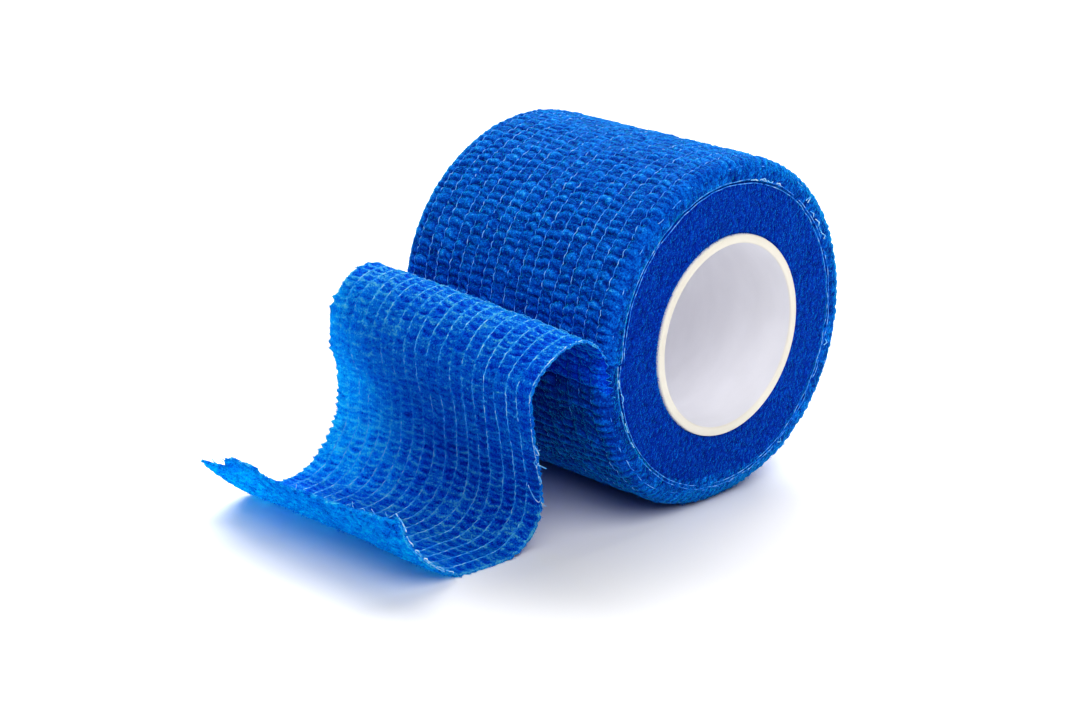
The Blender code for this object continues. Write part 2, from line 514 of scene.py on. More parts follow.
# %% Inner turns: felt
FACE_MIDDLE = 22
x, radius, back, on_face = ring_places(inner_mesh, SPIN_STEPS, INNER_CUTS)
wound = turn_radius(radius, back, 0.5)
felt = felt_lumps(back * FACE_MIDDLE, radius, 0.48, 13)
x = x + np.sign(x) * on_face * (0.07 * felt + 0.12 * smooth_noise(back * 3.0, radius / 2.5, 15))
set_places(inner_mesh, around_axis(x, wound, back))
set_attribute(inner_mesh, "relief", share_of(0.5 + 0.5 * felt))
set_attribute(inner_mesh, "band", np.stack([radius, back * FACE_MIDDLE, 0 * x], axis=-1))
print("felt, lowest and highest", round(float(felt.min()), 2), round(float(felt.max()), 2))

# %% [markdown]
# ## The loose end
# The loose end is one open sheet: off the roll, over a soft crest, down, along the surface and up
# into a curl. A cloth simulation would let it fall, but this one holds the set it took on the
# roll, so its shape is given by sections, as a sail maker gives stations, with a smooth curve
# through them. The sheet starts as a plain grid, its vertices move onto the sections and by the
# crinkle, and Solidify gives it the thickness of cloth.

# %% Sections of the loose end
# Each row: right edge x, y, z and left edge x, y, z, in mm, at the middle of the cloth.
SECTIONS = np.array((
    (25.0, -30.4, 33.9, -25.0, -30.3, 34.3),
    (25.0, -32.1, 35.8, -25.0, -31.7, 37.1),
    (25.0, -34.8, 37.3, -25.0, -34.5, 39.0),
    (25.0, -37.5, 37.4, -25.0, -37.8, 39.2),    # crest
    (24.9, -40.4, 36.3, -25.0, -41.0, 37.9),
    (24.8, -43.3, 34.3, -25.1, -43.1, 35.3),
    (24.5, -45.2, 31.2, -25.4, -44.1, 31.6),
    (23.9, -44.7, 26.9, -26.1, -43.4, 26.6),    # hanging
    (22.9, -43.1, 22.0, -27.2, -41.4, 21.6),
    (21.8, -41.4, 17.3, -28.7, -40.3, 15.7),
    (20.3, -39.2, 12.1, -30.2, -39.9, 10.6),
    (18.6, -37.9, 6.6, -31.8, -41.2, 6.1),
    (17.1, -39.2, 2.2, -33.3, -42.4, 3.0),
    (17.0, -42.8, 0.5, -34.2, -45.0, 1.0),
    (16.7, -47.7, 0.35, -34.5, -48.1, 0.4),     # on the surface
    (16.0, -52.6, 0.35, -34.6, -52.6, 0.4),
    (16.0, -56.6, 1.9, -34.5, -56.4, 1.3),
    (16.2, -60.9, 5.2, -34.3, -60.2, 4.0),
    (16.4, -64.3, 9.2, -33.9, -63.9, 6.9),
    (16.8, -66.6, 14.0, -33.2, -67.4, 10.0),    # cut
))
CLOTH = 0.5
MEAN_HEIGHT = 0.5
START_ANGLES = np.radians((-8.0, -4.5, -1.0, 2.5))
SECTION_STEPS = 24


def smooth_path(points, steps):
    """A smooth curve through points, with steps short pieces between each two."""
    padded = np.vstack([points[:1], points, points[-1:]])
    t = np.linspace(0, 1, steps, endpoint=False)[:, None]
    runs = []
    for a, b, c, d in zip(padded, padded[1:], padded[2:], padded[3:]):
        runs.append(0.5 * (2 * b + (c - a) * t + (2 * a - 5 * b + 4 * c - d) * t ** 2
                           + (3 * b - a - 3 * c + d) * t ** 3))
    return np.vstack(runs + [points[-1:]])


sheet_radius = ROLL_RADIUS + LIFT - (1 - MEAN_HEIGHT) * ROLL_RELIEF - CLOTH / 2
on_roll = np.stack([-sheet_radius * np.cos(START_ANGLES),
                    AXIS_HEIGHT + sheet_radius * np.sin(START_ANGLES)], axis=-1)
starts = [(25.0, y, z, -25.0, y, z) for y, z in on_roll]
edges = smooth_path(np.vstack([starts, SECTIONS]), SECTION_STEPS)
middle = (edges[:, :3] + edges[:, 3:]) / 2
run = np.append(0.0, np.cumsum(np.linalg.norm(np.diff(middle, axis=0), axis=1)))
START_ALONG = float((START_ANGLES[-1] - START_ANGLES[0]) * sheet_radius)
TAIL_LENGTH = float(run[-1] - START_ALONG)
print("loose end, length in mm", round(TAIL_LENGTH, 1), "plus", round(START_ALONG, 1), "on the roll")


# %% The sheet's surface
PEAK_ACROSS, PEAK_WIDTH, PEAK_RISE = -14.5, 6.5, 1.8


def sheet_place(across, along):
    """Point in mm on the middle of the smooth sheet. Past the cut it runs straight on, and the
    cut has one low peak."""
    at = START_ALONG - along
    beyond = np.clip(at - run[-1], 0.0, None)[:, None]
    six = np.stack([np.interp(at, run, edges[:, k]) for k in range(6)], axis=-1)
    slope = (edges[-1] - edges[-8]) / (run[-1] - run[-8])
    six = six + beyond * slope
    share = (0.5 + across / BAND_WIDTH)[:, None]
    place = six[:, :3] * share + six[:, 3:] * (1 - share)
    curl = share_of((-along - 66) / 18) ** 1.5
    place[:, 2] += PEAK_RISE * curl * np.exp(-((across - PEAK_ACROSS) / PEAK_WIDTH) ** 2)
    return place


def sheet_normal(across, along):
    """Direction of the sheet's outer side, the side that faced outwards on the roll."""
    run_way = sheet_place(across, along - 0.4) - sheet_place(across, along + 0.4)
    side_way = sheet_place(across + 0.5, along) - sheet_place(across - 0.5, along)
    normal = np.cross(side_way, run_way)
    return normal / np.linalg.norm(normal, axis=1, keepdims=True)


probe = sheet_normal(np.zeros(3), np.array([0.0, -12.0, -30.0]))
print("outer side faces", np.round(probe, 1).tolist())

# %% Relief and slack of the sheet
DEPTH_PLACES = (-84, -70, -58, -47, -38, -24, -16, -8, -3)
DEPTHS = (0.50, 0.50, 0.48, 0.42, 0.34, 0.40, 0.60, 0.68, ROLL_RELIEF)


def relief_depth(along):
    """Depth of the crinkle in mm. The pull of the hanging part flattens it."""
    return np.interp(along, DEPTH_PLACES, DEPTHS)


def slack(across, along):
    """Slow waves of the hanging cloth, in mm. On the roll it has none, but sinks into the turn
    below and bends round the roll's shoulders."""
    waves = (0.32 * smooth_noise(across / 11, along / 12, 21)
             + 0.12 * smooth_noise(across / 3.2, along / 4.1, 22))
    sunk = 0.80 * share_of((along - 1.5) / 4.0) ** 1.5
    settled = share_of((along + 3) / 5)
    over = over_shoulder(across)
    bent = 0.8 * SHOULDER * (1 - np.sqrt(1 - 0.98 * over ** 2)) + 0.2 * over
    return share_of(-along / 8.0) * waves - sunk - settled * bent


print("crinkle depth while it hangs, in mm", round(float(relief_depth(-30)), 2))

# %% Lay out the sheet
SHEET_COLUMNS = COLUMNS * CELLS
SHEET_ROWS = 350
bm = bmesh.new()
bmesh.ops.create_grid(bm, x_segments=SHEET_COLUMNS, y_segments=SHEET_ROWS, size=0.5)
sheet_mesh = mesh_of("loose_end", bm)
co = places(sheet_mesh)
column = (co[:, 0] + 0.5) * COLUMNS
column = column - 0.3 * np.sin(math.tau * column) / math.tau
part = 0.5 - co[:, 1]
print("sheet", len(sheet_mesh.polygons), "faces before its thickness")

# %% The ragged cut and the toothed edges
# The cut was torn off along a row, and a corner of it is gone. Each row of pillows ends in a
# tooth at the edge: a clear one on the left, a small one on the right.
EDGE_ZONE = 0.22
ragged = (0.5 * smooth_noise(column * 2.1, 0.3, 23) + 0.7 * smooth_noise(column / 2.0, 0.7, 24)
          + 0.35 * smooth_noise(column * 0.9, 0.2, 31))
corner = 1.6 * share_of((2.3 - column) / 0.25) + 1.1 * np.exp(-((column - 2.0) / 0.3) ** 2)
along = START_ALONG - part * (START_ALONG + TAIL_LENGTH + ragged - corner)
across = column_across(column, along)
at_edge = share_of((np.abs(column - COLUMNS / 2) - COLUMNS / 2 + EDGE_ZONE) / EDGE_ZONE)
tooth = 1 - np.abs(2 * (row_at(column, along) % 1.0) - 1)
depth = np.where(column < 1, 1.0, 0.35) * (0.7 + 0.6 * smooth_noise(along / 2.2, 0.1, 26))
depth = depth * share_of(-along / 5) - 0.4 * share_of((along + 3) / 5)
frayed_edge = depth * tooth + 0.05 + 0.24 * smooth_noise(along / 0.6, 0.5, 25)
across = across + np.sign(across) * at_edge * frayed_edge
print("cut, from", round(float(-along.min()), 1), "mm along")

# %% Move the sheet into place
height = crinkle(column, along)
lumps = fine_lumps(across, along)
rough = np.interp(along, (-84, -66, -44, -25, -12), (0.24, 0.14, 0.10, 0.10, 0.14))
moved = slack(across, along) + relief_depth(along) * (height - MEAN_HEIGHT) + rough * lumps
place = sheet_place(across, along) + sheet_normal(across, along) * moved[:, None]
place[:, 2] = np.maximum(place[:, 2], CLOTH / 2 + 0.02)
set_places(sheet_mesh, place)
upper = np.array(sheet_mesh.polygons[len(sheet_mesh.polygons) // 2].normal)
print("a middle face of the sheet looks", np.round(upper, 1))

# %% What the sheet's materials read
# relief is for the upper side, outer for the other side, and free says how much light passes.
# The hanging part is pulled flat, so its ladder is faint. Its left side gets painted light and its right
# side painted shade, where the roll blocks the light from behind only on the right, and its lower part, the
# part on the surface and the curl are painted a little lighter.
flat_part = np.interp(along, (-44, -34, -24, -14), (0.0, 0.45, 0.45, 0.0))
# Painted light and shade on the upper side's tone.
painted_light = np.interp(along, (-56, -46, -36), (0.04, 0.04, 0.0))
light_to_left = np.interp(along, (-60, -52, -40, -18, -8), (-0.04, 0.0, 0.17, 0.09, 0.02))
painted_light = painted_light - across / 25 * light_to_left
# The upper side's tone follows the crinkle: painted shade in its pits, painted light on its rungs.
inner_relief = 0.95 - 0.95 * height + painted_light
inner_relief = inner_relief * (1 - flat_part) + 0.45 * flat_part + 0.2 * lumps
set_attribute(sheet_mesh, "relief", share_of(inner_relief))
plain = share_of((-along - 16) / 20)
outer_relief = height * (1 - plain) + 0.6 * plain + (0.25 + 0.3 * plain) * lumps
set_attribute(sheet_mesh, "outer", share_of(outer_relief))
tight = 0.35 * share_of(0.5 + across / BAND_WIDTH) * np.interp(along, (-66, -54), (0.0, 1.0))
free = np.interp(along, (-64, -54, -16, -2), (1.03, 1.0, 1.0, 0.0)) * (1 - tight)
set_attribute(sheet_mesh, "free", free)
set_attribute(sheet_mesh, "band", np.stack([across, along, height], axis=-1))
print("tone of the upper side, mean", round(float(inner_relief.mean()), 2))

# %% [markdown]
# ## Materials of the cloth
# The cloth is a soft blue fleece of fine fibres. In the grooves the light bounces from blue to
# blue and gets deeper, and on the tops it is lighter. One way is a flat blue with bump. Here the
# colour follows the crinkle's own height, with mottling and fine fibres over it: painted shade in
# the grooves and painted light on the tops, so it stays right from any side. The loose end is thin
# enough to let light through, so part of its shader is translucent, and its other side is plainer
# and fuzzier.


# %% Node helpers
def add_node(tree, kind, inputs, **settings):
    """A new shader node with its settings and its inputs."""
    node = tree.nodes.new("ShaderNode" + kind)
    for name, value in settings.items():
        setattr(node, name, value)
    feed(node, inputs)
    return node


def object_point(tree, scale, stretch=(1.0, 1.0, 1.0)):
    """Object coordinates in mm, times scale."""
    place = add_node(tree, "TexCoord", {}).outputs["Object"]
    scales = [1000.0 * scale * s for s in stretch]
    return add_node(tree, "Mapping", {"Vector": place, "Scale": scales}).outputs["Vector"]


def noise(tree, vector, detail=2.0, roughness=0.5):
    inputs = {"Vector": vector, "Scale": 1.0, "Detail": detail, "Roughness": roughness}
    return add_node(tree, "TexNoise", inputs).outputs["Fac"]


def attribute(tree, name):
    """The number that a mesh holds for each vertex under this name."""
    return add_node(tree, "Attribute", {}, attribute_name=name).outputs["Fac"]


def bump(tree, height, distance, strength):
    """Bump of a height pattern, with its distance in mm."""
    inputs = {"Height": height, "Distance": distance * MM, "Strength": strength}
    return add_node(tree, "Bump", inputs).outputs["Normal"]


print("node helpers ready")


# %% Sums and colours in nodes
def math_node(tree, operation, *values, clamp=False):
    inputs = dict(enumerate(values))
    return add_node(tree, "Math", inputs, operation=operation, use_clamp=clamp).outputs[0]


def varied(tree, tone, pattern, weight):
    """The tone, moved up and down by a pattern whose middle is 0.5."""
    return math_node(tree, "MULTIPLY_ADD", math_node(tree, "SUBTRACT", pattern, 0.5), weight, tone)


def ramp(tree, factor, stops):
    """A colour for each value, with straight blends between the stops."""
    node = add_node(tree, "ValToRGB", {"Fac": factor})
    elements = node.color_ramp.elements
    while len(elements) < len(stops):
        elements.new(0.5)
    for element, (position, colour) in zip(elements, stops):
        element.position = position
        element.color = (*colour, 1.0)
    return node.outputs["Color"]


print("colour helpers ready")

# %% Blue cloth
WOUND_BLUES = ((0.0003, 0.008, 0.16), (0.0006, 0.052, 0.41), (0.003, 0.20, 0.80), (0.08, 0.56, 1.0))
FELT_BLUES = ((0.0003, 0.008, 0.17), (0.0006, 0.033, 0.38), (0.001, 0.102, 0.64), (0.012, 0.28, 0.92))
LOOSE_BLUES = ((0.0004, 0.030, 0.54), (0.0007, 0.080, 0.85), (0.003, 0.28, 1.0), (0.18, 0.76, 1.0))
BACK_BLUES = ((0.0003, 0.014, 0.36), (0.0006, 0.064, 0.67), (0.003, 0.28, 0.96), (0.18, 0.76, 1.0))
PASSING_BLUES = ((0.0003, 0.11, 0.45), (0.001, 0.40, 0.84), (0.004, 0.84, 1.0))


def fleece(name, blues, source, weights, lift, sheen_green):
    """Blue fleece that lets no light through, with its tree, its shader and its tone. source
    names the attribute that holds the relief. weights say how much the relief, the lumps and the
    fibres change the tone."""
    material, tree, shader = new_material(name)
    lumps = noise(tree, object_point(tree, 1.3), detail=2.0, roughness=0.6)
    fibres = noise(tree, object_point(tree, 3.4), detail=1.0, roughness=0.6)
    tone = math_node(tree, "MULTIPLY_ADD", attribute(tree, source), weights[0], lift)
    tone = varied(tree, varied(tree, tone, lumps, weights[1]), fibres, weights[2])
    colour = ramp(tree, tone, list(zip((0.0, 0.38, 0.75, 1.0), blues)))
    height = math_node(tree, "MULTIPLY_ADD", fibres, 0.5, lumps)
    feed(shader, {"Base Color": colour, "Normal": bump(tree, height, 0.45, 1.0), "Roughness": 0.6,
                  "Specular IOR Level": 0.02, "Sheen Weight": 1.0, "Sheen Roughness": 0.3,
                  "Sheen Tint": (0.002, sheen_green, 1.0, 1.0)})
    return material, tree, shader, tone


def let_light_through(tree, shader, tone, through):
    """Mixes a translucent shader in, as far as through and the attribute free say."""
    free = attribute(tree, "free")
    thin = math_node(tree, "MULTIPLY_ADD", math_node(tree, "SUBTRACT", free, 1.0), 0.9, tone)
    colour = ramp(tree, thin, list(zip((0.0, 0.30, 0.70), PASSING_BLUES)))
    behind = add_node(tree, "BsdfTranslucent", {"Color": colour})
    share = math_node(tree, "MULTIPLY", free, through, clamp=True)
    mix = add_node(tree, "MixShader", {"Fac": share, 1: shader.outputs[0], 2: behind.outputs[0]})
    feed(tree.nodes["Material Output"], {"Surface": mix.outputs[0]})


wound_cloth, *_ = fleece("blue_wound_cloth", WOUND_BLUES, "relief", (0.74, 0.6, 0.9), 0.07, 0.66)
felt_cloth, *_ = fleece("blue_layer_edges", FELT_BLUES, "relief", (0.30, 0.9, 1.0), 0.18, 0.45)
loose_cloth, *nodes = fleece("blue_loose_cloth", LOOSE_BLUES, "relief", (1.05, 0.35, 1.2), 0.085, 0.62)
let_light_through(*nodes, through=0.58)
back_cloth, *nodes = fleece("blue_loose_back", BACK_BLUES, "outer", (0.60, 0.7, 0.9), 0.01, 0.65)
let_light_through(*nodes, through=0.95)
print("cloth materials ready")

# %% Put the cloth pieces in place
# The new faces that Solidify makes are the outer side, and they take the second material.
outer_turns = add_piece("outer_turns", skin_mesh, "blue_band", wound_cloth)
add_piece("inner_turns", inner_mesh, "blue_band", felt_cloth)
loose_end = add_piece("loose_end", sheet_mesh, "blue_band_loose", loose_cloth, back_cloth)
thickness = loose_end.modifiers.new("thickness", "SOLIDIFY")
thickness.thickness = CLOTH * MM
thickness.offset = 0.0
thickness.material_offset = 1
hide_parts("wound_roll")
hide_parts("loose_tail")

# %% [markdown]
# ## Threads
# The threads are pale, about a fifth of a millimetre thick. Along the loose end they lie on the
# upper side and catch the light, and on the roll they lie in the valleys between the pillows, so
# they show as dashes. They could be painted lines, but real tubes go over and under the pillows
# by themselves. Each thread is a poly curve with a round bevel, made into a mesh.

# %% Thread maker
THREAD_RADIUS = 0.11


def tubes(name, runs, radius, roundness=1):
    """A mesh of tubes along lists of points in mm. A run is (points, width), with width about 1."""
    curve = bpy.data.curves.new(name, "CURVE")
    curve.dimensions = "3D"
    curve.bevel_depth = radius * MM
    curve.bevel_resolution = roundness
    curve.use_fill_caps = True
    for points, width in runs:
        spline = curve.splines.new("POLY")
        spline.points.add(len(points) - 1)
        spline.points.foreach_set("co", np.column_stack([points * MM, np.ones(len(points))]).ravel())
        spline.points.foreach_set("radius", np.broadcast_to(np.asarray(width, float), len(points)).copy())
    holder = new_object(name, curve)
    mesh = bpy.data.meshes.new_from_object(holder.evaluated_get(bpy.context.evaluated_depsgraph_get()))
    bpy.data.objects.remove(holder)
    bpy.data.curves.remove(curve)
    mesh.shade_smooth()
    return mesh


def add_threads(name, runs, slot, finish):
    return add_piece(name, tubes(name, runs, THREAD_RADIUS), slot, finish)


print("thread radius, in mm", THREAD_RADIUS)


# %% Thread finishes
def thread_finish(name, stops):
    """Spun thread whose colour changes a little along its length."""
    material, tree, shader = new_material(name)
    shade = noise(tree, object_point(tree, 1.1), detail=2.0)
    twist = noise(tree, object_point(tree, 6.0), detail=1.0)
    feed(shader, {"Base Color": ramp(tree, shade, stops), "Normal": bump(tree, twist, 0.05, 0.8),
                  "Roughness": 0.6, "Specular IOR Level": 0.05})
    return material


pale_stops = [(0.32, (0.008, 0.29, 0.92)), (0.50, (0.09, 0.54, 1.0)), (0.68, (0.40, 0.82, 1.0))]
# The threads that lie low, on the roll and in the groove, take a darker copy of the pale finish: painted
# shade.
low_thread_stops = [(0.36, (0.008, 0.16, 0.72)), (0.52, (0.07, 0.36, 0.94)), (0.70, (0.36, 0.64, 1.0))]
pale_thread = thread_finish("pale_thread", pale_stops)
sunk_thread = thread_finish("sunk_thread", low_thread_stops)
print("thread materials ready")

# %% Where a thread lies
BESIDE = 0.06


def ridge(column, along):
    """Height right beside a thread, where it lies."""
    return crinkle(np.full(len(along), float(np.clip(column, BESIDE, COLUMNS - BESIDE))), along)


def on_sheet(across, along, above):
    """Points above the upper side of the loose end, in mm."""
    points = sheet_place(across, along) - sheet_normal(across, along) * np.asarray(above)[:, None]
    points[:, 2] = np.maximum(points[:, 2], CLOTH + 0.05)
    return points


print("height beside a thread", round(float(ridge(1, np.zeros(1))[0]), 2))

# %% Threads on the loose end
# The thread at the right edge ends on the way down, and the one beside it is broken there.
EDGE_BREAK, EDGE_AGAIN = -45.6, -69.0
BROKEN_FROM, BROKEN_TO = -43.8, -45.2
THREAD_STEP = 0.24
runs, edge_runs = [], []
for number in range(1, COLUMNS + 1):
    cut = TAIL_LENGTH + 0.6 * float(smooth_noise(number * 0.9, 0.2, 31)) - 0.5
    start = -2.0 if number == COLUMNS else START_ALONG - 1.5
    along = np.arange(start, EDGE_BREAK if number == COLUMNS else -cut, -THREAD_STEP)
    row = row_at(np.full(len(along), float(number)), along)
    jog = 0.16 + 0.12 * smooth_noise(along / 6, number * 1.1, 38)
    across = thread_across(number, along) + jog * ((row % 1.0) - 0.5)
    hidden = np.interp(along, (-46, -38, -22, -14), (0, 1, 1, 0)) * np.clip(1.3 - number / 16, 0.3, 1.0)
    above = relief_depth(along) * (MEAN_HEIGHT - 0.8 * ridge(number, along)) - slack(across, along)
    above = above + CLOTH / 2 + 0.01 - 0.11 * smooth_noise(along / 2.3, number * 1.9, 32) - 0.10 * hidden
    width = 0.64 + 0.20 * smooth_noise(along / 2.2, number * 2.7, 33) - 0.24 * hidden
    points = on_sheet(across, along, above)
    if number == COLUMNS - 1:
        for kept in (along > BROKEN_FROM, along < BROKEN_TO):
            runs.append((points[kept], width[kept]))
    elif number == COLUMNS:
        edge_runs.append((points, width))
    else:
        runs.append((points, width))
loose_threads = add_threads("loose_threads", runs, "blue_band_loose", pale_thread)

# %% Frayed ends: hooks and loops at the right edge
white_stops = [(0.36, (0.10, 0.50, 1.0)), (0.52, (0.34, 0.70, 1.0)), (0.70, (0.80, 0.92, 1.0))]
white_thread = thread_finish("frayed_white_thread", white_stops)


def frayed(places_on_sheet, width=0.9):
    """A free bit of thread through a few (across, along, above) places, as a smooth run."""
    across, along, above = smooth_path(np.array(places_on_sheet, float), 5).T
    return on_sheet(across, along, above), width


runs = edge_runs + [
    # the thread beside the edge breaks off and hooks into the edge thread
    frayed([(22.1, -43.4, 0.3), (22.5, -44.2, 0.35), (23.5, -45.6, 0.4), (24.4, -46.2, 0.35),
            (24.9, -45.4, 0.3)]),
    # loops and short ends that stand out of the edge
    frayed([(24.8, -33.0, 0.3), (25.1, -33.4, 0.4), (25.8, -33.6, 0.5), (26.3, -33.3, 0.5)], 0.6),
    frayed([(24.9, -33.6, 0.3), (25.6, -34.2, 0.4), (25.7, -35.0, 0.4), (25.0, -35.2, 0.3)], 0.7),
    frayed([(24.8, -36.4, 0.3), (24.3, -37.4, 0.4), (24.8, -37.9, 0.4), (25.2, -37.2, 0.3)], 0.7),
    frayed([(25.0, -37.6, 0.3), (25.8, -37.7, 0.3), (27.0, -37.7, 0.4)], 0.8),
    frayed([(24.9, -40.3, 0.3), (25.3, -41.3, 0.4), (24.9, -42.4, 0.3)], 0.6),
    frayed([(24.9, -46.1, 0.3), (25.4, -46.6, 0.2), (25.9, -46.7, 0.1)], 0.5),
    # the hooked free end at the corner of the cut
    frayed([(24.6, -TAIL_LENGTH - 1.2, 0.2), (25.0, 0.6 - TAIL_LENGTH, 0.4), (25.1, 2.0 - TAIL_LENGTH, 0.5),
            (24.7, 2.8 - TAIL_LENGTH, 0.7), (24.1, 2.4 - TAIL_LENGTH, 0.9)], 0.95),
]
print("frayed bits so far", len(runs))

# %% Frayed ends: wavy bits beside the curl, and short ends at the cut
rng = np.random.default_rng(51)
place_along = 3.4 - TAIL_LENGTH
while place_along < EDGE_AGAIN:
    size = rng.uniform(1.2, 2.6)
    steps = np.linspace(0.0, 1.0, 5)
    wave = rng.uniform(-0.28, 0.28, 5)
    bit_along = place_along + size * steps
    runs.append(frayed(np.stack([25.05 + wave, bit_along, 0.25 + np.abs(wave)], axis=-1), 0.75))
    if rng.random() < 0.6:
        runs.append(frayed(np.stack([25.15 - wave, bit_along, 0.15 + 0 * wave], axis=-1), 0.5))
    place_along += size + rng.uniform(0.1, 0.9)
for number in range(1, COLUMNS):
    bend = rng.uniform(-0.5, 0.5, 2)
    at = float(thread_across(number, -TAIL_LENGTH))
    if rng.random() < 0.5:
        continue
    runs.append(frayed([(at, 1.2 - TAIL_LENGTH, 0.30), (at + 0.3 * bend[0], 0.2 - TAIL_LENGTH, 0.35),
                        (at + bend[0], -0.4 - TAIL_LENGTH, 0.3 + bend[1])], 0.5))
frayed_ends = add_threads("frayed_ends", runs, "blue_band_loose", white_thread)

# %% Threads on the roll
# The two edge threads lie on the shoulders, a little below the top of the turn.
EDGE_THREAD_X, EDGE_THREAD_DROP = 24.22, 1.3
ROLL_THREAD_STEP = 0.42
runs = []
for number in range(COLUMNS + 1):
    back = np.arange(0.10, math.tau - STEP_ANGLE, ROLL_THREAD_STEP / ROLL_RADIUS)
    along = back * ROLL_RADIUS
    row = row_at(np.full(len(along), float(number)), along) % 1.0
    across = thread_across(number, along) + 0.14 * (row - 0.5)
    level = LIFT - ROLL_RELIEF * (1 - 0.9 * ridge(number, along)) + 0.17
    level = level + 0.13 * smooth_noise(along / 1.5, number * 2.1, 34) - 0.12 * np.abs(2 * row - 1) ** 4
    level = level - 0.2 * share_of(1.5 - along / 22)
    if number in (0, COLUMNS):
        wobble = 0.25 * smooth_noise(along / 1.6, number, 44)
        across = math.copysign(1.0, number - 1) * (EDGE_THREAD_X + wobble)
        level = 0.2 * smooth_noise(along / 1.5, number, 45) - EDGE_THREAD_DROP
    radius = wound_radius(back) + level - edge_tuck(across, back) - under_sheet(along)
    runs.append((around_axis(across, radius, back), 0.74))
add_threads("roll_threads", runs, "blue_band", sunk_thread)

# %% Threads in the ring-shaped groove
def on_ring(ring_radius, back, out):
    """Points on a side face at a radius of the spun ring, out from the face by out mm."""
    return around_axis(FACE_X + out, turn_radius(ring_radius, back), back)


GROOVE_THREAD_STEP = 0.32
runs = []
for sign in (1, -1):
    for ring_radius, seed in ((GROOVE_RADIUS - 0.26, 35), (GROOVE_RADIUS + 0.30, 36)):
        back = np.arange(0.0, math.tau - 0.01, GROOVE_THREAD_STEP / ring_radius)
        bow = 0.10 * smooth_noise(back * 11, seed * 1.3 + sign, seed)
        dive = 0.26 * smooth_noise(back * 14, seed * 2.3 + sign, 37)
        points = on_ring(ring_radius + bow, back, 0.02 + np.minimum(dive, 0.10))
        runs.append((points * (sign, 1, 1), 0.75))
add_threads("groove_threads", runs, "blue_band", sunk_thread)

# %% White loops that stick out of the groove
LOOPS = (  # angle up from the side of the loose end, radius, length, bow, in degrees and mm
    (102, 26.5, 1.8, 0.15), (107, 26.6, 1.6, 0.35), (111, 26.8, 1.5, -0.25), (116, 26.7, 1.1, 0.2),
    (135, 27.5, 0.7, 1.0), (141, 26.9, 1.5, 0.2), (146, 27.0, 1.8, 0.25), (150, 27.1, 1.2, -0.25),
    (153, 27.1, 1.2, 0.3), (196, 26.8, 1.1, 0.3), (238, 26.7, 1.0, 0.3), (-4, 26.5, 1.5, 0.15),
    (-10, 26.1, 1.7, -0.15), (-16, 26.6, 1.4, 0.15), (-22, 26.4, 1.9, 0.2), (-30, 26.5, 1.2, 0.2),
)
FAR_SIDE_TURN = 0.9
runs = []
for sign in (1, -1):
    for angle, ring_radius, length, bow in LOOPS:
        t = np.linspace(0.0, 1.0, 9)
        centre = LEAVING_ANGLE - math.radians(angle) + (sign - 1) * FAR_SIDE_TURN
        back = (centre - length * (t - 0.5) / ring_radius) % math.tau
        radius = ring_radius + bow * np.sin(math.pi * t) + 0.05 * np.sin(5 * math.pi * t)
        points = on_ring(radius, back, 0.12 + 0.25 * np.sin(math.pi * t) ** 2)
        runs.append((points * (sign, 1, 1), 0.8))
add_threads("groove_loops", runs, "blue_band", white_thread)

# %% [markdown]
# ## Fuzz
# Single fibres stand out of the cloth everywhere, and they soften its outline. A hair system would
# make them, but hair is lost when the model is exported. Here each fibre is a very thin four-sided
# tube of three points, rooted at a random vertex of the cloth.

# %% Fuzz finishes
fuzz_stops = [(0.35, (0.001, 0.12, 0.62)), (0.55, (0.003, 0.28, 0.92)), (0.75, (0.04, 0.55, 1.0))]
fuzz_finish = thread_finish("blue_fuzz", fuzz_stops)
# The roll's fuzz is painted lighter than the loose end's: painted light, for the bright fringe where the
# roll's top is lit from behind.
lit_fuzz_stops = [(0.35, (0.002, 0.18, 0.75)), (0.55, (0.008, 0.38, 1.0)), (0.75, (0.10, 0.68, 1.0))]
fuzz_painted_light = thread_finish("blue_top_fuzz", lit_fuzz_stops)
side_stops = [(0.35, (0.0006, 0.03, 0.38)), (0.55, (0.001, 0.08, 0.62)), (0.75, (0.01, 0.22, 0.92))]
side_finish = thread_finish("blue_side_fuzz", side_stops)
print("fuzz finishes ready")

# %% Fuzz maker
FIBRE_RADIUS = 0.032
FIBRE_TAPER = (1.0, 0.85, 0.5)


def add_fuzz(name, roots, outs, size, seed, slot, finish):
    """A piece of curved fibres from roots in mm, along outs, as long as size says."""
    rng = np.random.default_rng(seed)
    outs = outs + rng.normal(0.0, 0.45, outs.shape)
    outs = outs / np.linalg.norm(outs, axis=1, keepdims=True)
    aside = np.cross(outs, rng.normal(size=outs.shape))
    aside = aside / np.linalg.norm(aside, axis=1, keepdims=True)
    long = (np.asarray(size) * rng.uniform(0.5, 1.3, len(roots)))[:, None]
    middle = roots + long * (0.50 * outs + 0.15 * aside)
    tips = roots + long * (0.75 * outs + 0.60 * aside)
    lines = np.stack([roots - 0.08 * outs, middle, tips], axis=1)
    lines[:, :, 2] = np.maximum(lines[:, :, 2], 0.03)
    mesh = tubes(name, [(line, FIBRE_TAPER) for line in lines], FIBRE_RADIUS, 0)
    return add_piece(name, mesh, slot, finish)


def roots_of(mesh, wanted, count, seed):
    """Places and normals, in mm, of count random vertices out of the wanted ones."""
    chosen = np.random.default_rng(seed).choice(np.flatnonzero(wanted), count)
    return places(mesh)[chosen] / MM, read_numbers(mesh.vertices, "normal", 3)[chosen]


def band_of(mesh):
    """What the attribute band holds for each vertex."""
    return read_numbers(mesh.attributes["band"].data, "vector", 3)


print("fibre radius, in mm", FIBRE_RADIUS)

# %% Fuzz on the roll
# None grows under the arch, where it wouldn't show.
LONG_FIBRE, SHORT_FIBRE, RIM_FIBRE = 0.42, 0.30, 0.50
skin_band = band_of(skin_mesh)
on_top = (skin_band[:, 2] > 0.3) & (skin_band[:, 1] > 32)
roots, outs = roots_of(skin_mesh, on_top, 6500, 61)
add_fuzz("roll_fuzz", roots, outs, LONG_FIBRE, 62, "blue_band", fuzz_painted_light)

